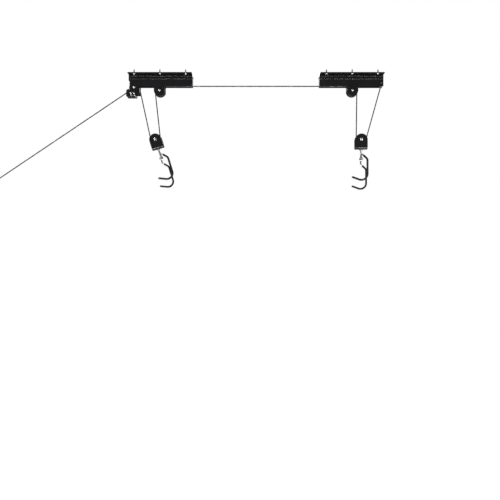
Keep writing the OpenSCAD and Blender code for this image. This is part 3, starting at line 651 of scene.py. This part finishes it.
def join_parts(name, parts, node=None, slot=None, body="root", crease=35):
    """One piece of several (points, faces, matrix), placed, finished and riding."""
    points, faces = [], []
    for part_points, part_faces, matrix in parts:
        start = len(points)
        points += [tuple(matrix @ Vector(p) * MM) for p in part_points]
        faces += [tuple(i + start for i in face) for face in part_faces]
    piece = new_piece(name, points, faces)
    piece.data.set_sharp_from_angle(angle=math.radians(crease))
    piece.data.materials.append(FINISH[slot])
    if node:
        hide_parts(node)
    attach(piece, body)
    return piece


# %% Domed heads and the ceiling screws
def dome(r, height, z, down=False):
    """Outline of a domed head from its rim at z to its middle."""
    steps = 10
    sign = -1 if down else 1
    return [(r * math.cos(math.radians(90 * i / steps)) if i < steps else 0.02,
             z + sign * height * math.sin(math.radians(90 * i / steps)))
            for i in range(steps + 1)]


PLATE_T = 2.0
SCREW_R = 2.5
SCREW_LENGTH = 14.0
SCREW_HEAD_R = 4.5
SCREW_PITCH = 88.0
SCREW_ROW_HALF = 26.0
HEAD_HEIGHT = 3.2


def ceiling_screw():
    """Built head up: the head's rim is at z = 0, and the shaft goes down."""
    tip = SCREW_LENGTH + PLATE_T
    outline = ([(0.02, -tip), (SCREW_R * 0.3, -tip + 1.2), (SCREW_R, -tip + 5), (SCREW_R, -3),
                (SCREW_R * 0.9, -2.4), (SCREW_R * 0.9, 0), (SCREW_HEAD_R * 0.9, 0),
                (SCREW_HEAD_R, 0.5)] + dome(SCREW_HEAD_R, HEAD_HEIGHT - 0.5, 0.5)[1:])
    return spun_mesh(outline, 36, thread=(-tip + 0.2, -3, 1.6, 0.7), recess=(1.4, 2.6, 0.75, 1.5))


for end, middle in (("front", 0.0), ("rear", BRACKET_GAP)):
    parts = []
    for x in (-SCREW_PITCH, 0.0, SCREW_PITCH):
        for y in (-SCREW_ROW_HALF, SCREW_ROW_HALF):
            points, faces = ceiling_screw()
            parts.append((points, faces, pose((middle + x, y, -PLATE_T), (0, 0, -1))))
    join_parts("%s_threaded_ceiling_screws" % end, parts, "%s_ceiling_screws" % end, "zinc_steel")
    print(end, "ceiling screws:", len(parts))

# %% [markdown]
# ## Axles and nuts
# Each wheel turns on a bolt with a domed head, which a lock nut holds at the far
# side. The nut's corners are cut back by a cone at both faces, and its outer end has
# a collar, where the real nut holds a plastic ring.

# %% Axle bolts and lock nuts
CHANNEL_HALF = 12.0
BLOCK_HALF = 12.5
AXLE_HEAD_R = 4.3
BLOCK_HEAD_R = 5.5
AXLE_LENGTH = 31.0
BLOCK_AXLE_LENGTH = 32.0
ANCHOR_LENGTH = 29.0
GRIP = 24.5
NUT_WIDTH = 10.0
NUT_HEIGHT = 5.0
NUT_SIDES = 72


def axle_bolt(head_r, length, grip):
    """Along +Z from under its head, which points to -Z; threaded beyond grip."""
    head = [(r, z) for r, z in reversed(dome(head_r, HEAD_HEIGHT - 0.5, -0.5, down=True))]
    outline = head + [(head_r * 0.95, 0), (AXLE_R, 0), (AXLE_R, grip), (AXLE_R, length - 0.7),
                      (AXLE_R - 0.7, length), (0.02, length)]
    return spun_mesh(outline, 36, thread=(grip, length - 0.7, 1.0, 0.45))


def with_bore(faces, rings, sides):
    """The faces of a spun outline, its two end caps changed for the wall of a bore."""
    last = (rings - 1) * sides
    return faces[:-2] + [(last + k, last + (k + 1) % sides, (k + 1) % sides, k)
                         for k in range(sides)]


def lock_nut():
    """Along +Z from its seat; the outer end carries the plastic ring's collar."""
    corner = NUT_WIDTH / 2 / math.cos(math.radians(30))
    outline = [(AXLE_R + 0.05, 0), (NUT_WIDTH / 2 * 0.96, 0), (corner, 0.7),
               (corner, NUT_HEIGHT - 1.7), (NUT_WIDTH / 2 * 0.94, NUT_HEIGHT - 1.0),
               (NUT_WIDTH / 2 * 0.86, NUT_HEIGHT - 0.8), (NUT_WIDTH / 2 * 0.82, NUT_HEIGHT),
               (AXLE_R + 0.05, NUT_HEIGHT)]
    points, faces = spun_mesh(outline, NUT_SIDES, hexagon=(0.1, NUT_HEIGHT - 1.2, NUT_WIDTH / 2))
    return points, with_bore(faces, len(outline), NUT_SIDES)


UPPER = (("front_middle", FRONT_AXLE), ("end", END_AXLE), ("rear_middle", REAR_AXLE))
for name, axle in UPPER:
    points, faces = axle_bolt(AXLE_HEAD_R, AXLE_LENGTH, GRIP)
    join_parts("%s_axle_bolt" % name,
               [(points, faces, pose((axle[0], -CHANNEL_HALF, axle[1]), (0, 1, 0)))],
               "%s_axle" % name, "zinc_steel")
    points, faces = lock_nut()
    join_parts("%s_lock_nut" % name,
               [(points, faces, pose((axle[0], CHANNEL_HALF, axle[1]), (0, 1, 0)))],
               "%s_nut" % name, "zinc_steel")

for end, block in (("front", FRONT_BLOCK), ("rear", REAR_BLOCK)):
    points, faces = axle_bolt(BLOCK_HEAD_R, BLOCK_AXLE_LENGTH, GRIP)
    join_parts("%s_block_axle_bolt" % end,
               [(points, faces, pose((block[0], -BLOCK_HALF, block[1]), (0, 1, 0)))],
               "%s_block_axle" % end, "zinc_steel", "%s_block" % end)
    points, faces = lock_nut()
    join_parts("%s_block_lock_nut" % end,
               [(points, faces, pose((block[0], BLOCK_HALF, block[1]), (0, 1, 0)))],
               "%s_block_nut" % end, "zinc_steel", "%s_block" % end)

points, faces = axle_bolt(AXLE_HEAD_R, ANCHOR_LENGTH, GRIP)
nut_points, nut_faces = lock_nut()
join_parts("anchor_bolt_and_nut",
           [(points, faces, pose((ANCHOR[0], -CHANNEL_HALF, ANCHOR[1]), (0, 1, 0))),
            (nut_points, nut_faces, pose((ANCHOR[0], CHANNEL_HALF, ANCHOR[1]), (0, 1, 0)))],
           "anchor_pin", "black_steel")
print("axle bolts:", len(UPPER) + 2, "and the anchor's")

# %% [markdown]
# ## Grooved wheels
# A wheel is moulded nylon: a rim with a round groove for the rope, a thin web
# dished on both sides, and a wide hub. Its outline is closed round the bore, and
# small radii on the rim catch the light as moulded edges do.

# %% Wheels
PULLEY_R = 18.5
PULLEY_HALF = 5.5
RIM_WIDTH = 4.0
DISH_DEPTH = 2.0
HUB_R = 9.0
HUB_HALF = 9.7
BORE_R = 5.05
GROOVE_R = 2.3


def wheel(hub_half):
    """Outline from one end of the bore round the groove to the other."""
    web = PULLEY_HALF - DISH_DEPTH
    rim = PULLEY_R - RIM_WIDTH
    half = [(BORE_R, hub_half), (HUB_R - 0.5, hub_half), (HUB_R, hub_half - 0.5),
            (HUB_R, web + 0.8), (HUB_R + 0.8, web), (rim - 0.8, web), (rim, web + 0.8),
            (rim, PULLEY_HALF - 0.3), (rim + 0.3, PULLEY_HALF),
            (PULLEY_R - 0.5, PULLEY_HALF), (PULLEY_R, PULLEY_HALF - 0.5),
            (PULLEY_R, 3.3), (PULLEY_R - 0.3, 2.95)]
    groove = [(PITCH_R - GROOVE_R * math.cos(math.radians(a)), GROOVE_R * math.sin(math.radians(a)))
              for a in range(90, -91, -15)]
    return half + groove + [(r, -z) for r, z in reversed(half)]


def ringed(outline, sides=64):
    points, faces = spun_mesh(outline, sides)
    return points, with_bore(faces, len(outline), sides)


for name, axle in UPPER:
    points, faces = ringed(wheel(HUB_HALF)[::-1])
    join_parts("%s_grooved_wheel" % name, [(points, faces, pose((axle[0], 0, axle[1]), (0, 1, 0)))],
               "%s_pulley" % name, "nylon", "%s_pulley" % name, crease=40)
for end, block in (("front", FRONT_BLOCK), ("rear", REAR_BLOCK)):
    points, faces = ringed(wheel(HUB_HALF)[::-1])
    join_parts("%s_block_grooved_wheel" % end,
               [(points, faces, pose((block[0], 0, block[1]), (0, 1, 0)))],
               "%s_block_pulley" % end, "nylon", "%s_block_pulley" % end, crease=40)
print("wheels:", len(UPPER) + 2, "with", len(wheel(HUB_HALF)), "points round each section")

# %% [markdown]
# ## Hooks
# A double hook is one zinc-plated rod: a cross bar that hangs in the swivel's eye,
# and a prong at each end that slants out, drops, and curls into a bowl. Each prong
# wears a dipped vinyl sleeve. Both follow one list of points, placed by the same
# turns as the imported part: the block's lean, the swivel's turn, the bar's roll.

# %% The rod's route in the hook's own frame
ROD_R = 2.5
SLEEVE_R = 3.4
PRONG_Y = 70.0
BAR_BEND_R = 9.0
BEND_STEPS = 12
SLANT = 19.5
SLOPE = 45.0
KNEE_R = 12.0
BOWL_DROP = 70.0
BOWL_R = 20.0
BOWL_TURN = 22.0
LEAD = 24.0
BAR_DROP = 67.0
YAW = {"front": -8.0, "rear": 10.0}
ROLL = {"front": 2.0, "rear": 6.0}
LEAN = {"front": 17.0, "rear": 0.0}

bar_half = PRONG_Y - BAR_BEND_R
slant_start = spot((0, 0), BAR_BEND_R, -SLOPE)
knee_x = SLANT - KNEE_R
slant_fall = knee_x + KNEE_R * math.sin(math.radians(SLOPE)) - slant_start[0]
knee = (knee_x, slant_start[1] - slant_fall - KNEE_R * math.cos(math.radians(SLOPE)))
bowl = (SLANT - BOWL_R, -BOWL_DROP)
lead_start = spot(bowl, BOWL_R, -90 - BOWL_TURN)
prong_line = ([slant_start] + arc(knee, KNEE_R, 90 - SLOPE, SLOPE - 90)
              + arc(bowl, BOWL_R, 0, -90 - BOWL_TURN)
              + [spot(lead_start, LEAD, 180 - BOWL_TURN)])
bar_bend = []
for i in range(BEND_STEPS + 1):
    a = math.radians(90 * i / BEND_STEPS)
    out = BAR_BEND_R * (1 - math.cos(a)) * math.cos(math.radians(SLOPE))
    bar_bend.append((out, bar_half + BAR_BEND_R * math.sin(a), -out))
half_rod = bar_bend + lay(prong_line, PRONG_Y)[1:]
whole_rod = [(x, -y, z) for x, y, z in reversed(half_rod)] + half_rod
print("hook rod's route:", len(whole_rod), "points")


def block_frame_of(end):
    block = FRONT_BLOCK if end == "front" else REAR_BLOCK
    return (Matrix.Translation((block[0], 0, block[1]))
            @ Matrix.Rotation(math.radians(-LEAN[end]), 4, "Y")
            @ Matrix.Rotation(math.radians(-YAW[end]), 4, "Z"))


def hook_frame_of(end):
    return (block_frame_of(end) @ Matrix.Translation((0, 0, -BAR_DROP))
            @ Matrix.Rotation(math.radians(-ROLL[end]), 4, "X"))


def placed(points, matrix):
    return [tuple(matrix @ Vector(p)) for p in points]


# %% Rods and sleeves
ROD_SIDES = 24
ROD_GAP = 1.5
SLEEVE_SIDES = 28
SLEEVE_GAP = 0.8


def rod_radius(turn, along):
    return ROD_R


def sleeve_radius_along(length):
    """Round at the tip, with a soft lip where the sleeve begins."""
    def radius(turn, along):
        lip = 0.2 * np.exp(-((along - 1.6) / 1.4) ** 2)
        start = np.sqrt(np.clip(1 - ((0.8 - along) / 0.8).clip(0) ** 2, 0, 1))
        past = ((along - (length - SLEEVE_R)) / SLEEVE_R).clip(0)
        tip = np.sqrt(np.clip(1 - past ** 2, 0.0004, 1))
        return SLEEVE_R * tip * (0.9 + 0.1 * start) + lip
    return radius


for end in ("front", "rear"):
    matrix = hook_frame_of(end)
    rod = tube("%s_hook_rod_bent" % end, placed(whole_rod, matrix), rod_radius, ROD_SIDES, ROD_GAP)
    rod.data.materials.append(bright_zinc)
    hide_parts("%s_hook_rod" % end)
    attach(rod, "%s_hook" % end)
    tip = prong_line[-1]
    reach = spot(tip, 2 * (SLEEVE_R - ROD_R), 180 - BOWL_TURN)
    for side, word in ((-1, "near"), (1, "far")):
        route = lay(prong_line + [reach], side * PRONG_Y)
        _, along = even_points(route, 1.0)
        sleeve = tube("%s_%s_vinyl_sleeve" % (end, word), placed(route, matrix),
                      sleeve_radius_along(along[-1]), SLEEVE_SIDES, SLEEVE_GAP)
        sleeve.data.materials.append(soft_vinyl)
        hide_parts("%s_hook_sleeves" % end)
        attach(sleeve, "%s_hook" % end)
        print(sleeve.name, round(along[-1], 1), "mm")

# %% [markdown]
# ## Swivels
# The hook turns on an eye bolt: a shank through the block's base, a collar under
# it, a nut on top, and a ring below for the cross bar. The shank is spun, with a
# flare where it meets the ring; the ring is a round tube on a circle.

# %% Eye bolts and their nuts
BASE_TOP = -31.5
NUT_LIFT = 0.3
COLLAR_TOP = -34.3
SHANK_TOP = -26.2
EYE_WIRE = 2.08
EYE_R = 4.88


def eye_bolt():
    ring_top = -BAR_DROP + EYE_R
    shank = [(0.02, SHANK_TOP), (AXLE_R - 0.6, SHANK_TOP), (AXLE_R, SHANK_TOP - 0.6),
             (AXLE_R, COLLAR_TOP),
             (5.6, COLLAR_TOP), (6.0, COLLAR_TOP - 0.4), (6.0, COLLAR_TOP - 2.6),
             (5.6, COLLAR_TOP - 3.0), (AXLE_R + 0.4, COLLAR_TOP - 3.4), (AXLE_R, COLLAR_TOP - 5),
             (AXLE_R, ring_top + 4), (AXLE_R + 0.7, ring_top + 1.5), (AXLE_R + 1.2, ring_top),
             (0.02, ring_top)]
    return spun_mesh(shank[::-1], 40, thread=(BASE_TOP + 0.5, SHANK_TOP - 0.6, 1.0, 0.4))


def eye_ring(around=48, sides=20):
    """A round tube on a circle that stands in the X-Z plane."""
    points, faces = [], []
    for i in range(around):
        a = 2 * math.pi * i / around
        for k in range(sides):
            b = 2 * math.pi * k / sides
            r = EYE_R + EYE_WIRE * math.cos(b)
            points.append((r * math.cos(a), EYE_WIRE * math.sin(b), -BAR_DROP + r * math.sin(a)))
            j, n = (i + 1) % around, (k + 1) % sides
            faces.append((i * sides + k, i * sides + n, j * sides + n, j * sides + k))
    return points, faces


for end in ("front", "rear"):
    matrix = block_frame_of(end)
    shank_points, shank_faces = eye_bolt()
    ring_points, ring_faces = eye_ring()
    join_parts("%s_eye_bolt" % end, [(shank_points, shank_faces, matrix),
                                     (ring_points, ring_faces, matrix)],
               "%s_swivel_eye" % end, "zinc_steel", "%s_hook" % end)
    points, faces = lock_nut()
    join_parts("%s_swivel_lock_nut" % end,
               [(points, faces, matrix @ Matrix.Translation((0, 0, BASE_TOP + NUT_LIFT)))],
               "%s_swivel_nut" % end, "zinc_steel", "%s_hook" % end)
    print(end, "eye bolt:", len(shank_faces) + len(ring_faces), "faces")

# %% [markdown]
# ## The wall cleat
# The cleat is moulded in one: a base, two legs and a bar with two horns. The
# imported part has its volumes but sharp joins. A copy is remeshed into one skin
# and smoothed, which melts the joins into the fillets of a moulding.

# %% Moulded cleat
VOXEL = 0.9 * MM
cleat = bpy.data.objects.new("moulded_wall_cleat", nodes["wall_cleat"].data.copy())
bpy.context.scene.collection.objects.link(cleat)
remesh = cleat.modifiers.new("one_skin", "REMESH")
remesh.mode = "VOXEL"
remesh.voxel_size = VOXEL
soften = cleat.modifiers.new("fillets", "SMOOTH")
soften.factor = 0.5
soften.iterations = 6
bpy.context.view_layer.update()
shaped = bpy.data.meshes.new_from_object(cleat.evaluated_get(bpy.context.evaluated_depsgraph_get()))
cleat.modifiers.clear()
cleat.data = shaped
shaped.polygons.foreach_set("use_smooth", [True] * len(shaped.polygons))
shaped.materials.clear()
shaped.materials.append(moulded_nylon)
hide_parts("wall_cleat")
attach(cleat, "root")
print("cleat skin:", len(shaped.polygons), "faces")

# %% [markdown]
# ## The pressed steel
# Plates, channels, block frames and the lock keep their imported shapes. Real sheet
# steel has no sharp edge: a bevel modifier rounds each one by a few tenths of a
# millimetre, after a weld that joins the corners the file format keeps apart.
# Smooth shading would bend the light across the broad flat faces, so a last
# modifier weighs the normals by face area, and flat steel looks flat.

# %% Round the steel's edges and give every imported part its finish
ROUNDING = 0.35 * MM
SAME_POINT = 0.002 * MM
EDGE_ANGLE = math.radians(40)
slot_of = {s["node"]: s["material_slot"] for s in frame["record"]["subparts"]}
for name, node in nodes.items():
    if node.hide_render:
        continue
    finish = FINISH[slot_of[name]]
    if not node.material_slots:
        node.data.materials.append(finish)
    for holder in node.material_slots:
        holder.link = "OBJECT"
        holder.material = finish
    weld = node.modifiers.new("weld", "WELD")
    weld.merge_threshold = SAME_POINT
    bevel = node.modifiers.new("rounded_edges", "BEVEL")
    bevel.width = ROUNDING
    bevel.segments = 2
    bevel.limit_method = "ANGLE"
    bevel.angle_limit = EDGE_ANGLE
    flatten = node.modifiers.new("flat_faces_stay_flat", "WEIGHTED_NORMAL")
    flatten.mode = "FACE_AREA"
    flatten.weight = 100
    flatten.keep_sharp = True
    node.data.polygons.foreach_set("use_smooth", [True] * len(node.data.polygons))
print("packed parts shown:", [n for n, o in nodes.items() if not o.hide_render])

# %% Rope finish
braided = [piece for piece in bpy.context.scene.objects
           if piece.name.startswith("braided_") or piece.name.endswith("barrel_knot")]
for piece in braided:
    piece.data.materials.append(braided_cord)
print("pieces of rope:", len(braided))

# %% [markdown]
# ## The free rope
# The pull rope is the only free stretch.

print("pull rope:", TAIL_LENGTH, "mm long and", 2 * ROPE_R, "mm thick")

# %% [markdown]
# ## Floor, backdrop and light
# The hoist hangs at ceiling height over a pale floor. Soft lamps at both sides
# shape the steel. A flat black face shows what it mirrors, so no lamp stands where
# the camera would see it in the brackets' sides. A long, low strip of light in front
# and below is mirrored only by round edges: the beads, the bends and the rods.
# The world and the floor are white to the camera, and the world is dimmer to the
# light that reaches the steel, so that black stays black.

# %% Floor
FLOOR_Z = -2.42
FLOOR_HALF = 9.0
FLOOR_GLOW = 0.9
floor_mesh = bpy.data.meshes.new("floor")
floor_mesh.from_pydata([(x * FLOOR_HALF, y * FLOOR_HALF, FLOOR_Z)
                        for x, y in ((-1, -1), (1, -1), (1, 1), (-1, 1))], [], [(0, 1, 2, 3)])
floor = bpy.data.objects.new("floor", floor_mesh)
bpy.context.scene.collection.objects.link(floor)
pale, tree, shader, place = new_material(
    "pale_floor", Base_Color=(0.92, 0.92, 0.92, 1), Roughness=0.9,
    Specular_IOR_Level=0.0, Emission_Color=(1, 1, 1, 1))
rays = tree.nodes.new("ShaderNodeLightPath")
tree.links.new(step(tree, "MULTIPLY", rays.outputs["Is Camera Ray"], FLOOR_GLOW),
               shader.inputs["Emission Strength"])
floor_mesh.materials.append(pale)

# %% Lamps and world
def lamp(name, where, aim, size, power, height=None):
    """A round lamp, or a strip where it has a height."""
    data = bpy.data.lights.new(name, "AREA")
    data.shape = "RECTANGLE" if height else "DISK"
    data.size = size
    if height:
        data.size_y = height
    data.energy = power
    light = bpy.data.objects.new(name, data)
    light.location = where
    light.rotation_euler = (Vector(aim) - Vector(where)).to_track_quat("-Z", "Y").to_euler()
    bpy.context.scene.collection.objects.link(light)


lamp("key", (-1.9, -1.5, 1.1), (0.2, 0, -0.15), 1.2, 38)
lamp("fill", (2.2, -1.8, -0.5), (0.4, 0, -0.15), 1.6, 24)
lamp("rim", (0.6, 1.8, 0.9), (0.3, 0, -0.1), 1.4, 22)
lamp("strip", (0.3, -1.2, -2.0), (0.3, 0, -0.1), 3.0, 75, height=0.3)

WORLD_LIGHT = 0.15
world = bpy.data.worlds.new("soft_white")
bpy.context.scene.world = world
world.use_nodes = True
tree = world.node_tree
background = tree.nodes["Background"]
background.inputs["Color"].default_value = (1, 1, 1, 1)
rays = tree.nodes.new("ShaderNodeLightPath")
strength = remap(tree, rays.outputs["Is Camera Ray"], 0.0, 1.0, WORLD_LIGHT, 1.0)
tree.links.new(strength, background.inputs["Strength"])
bpy.context.scene.view_settings.view_transform = "Standard"
print("lamps:", sorted(light.name for light in bpy.data.lights))
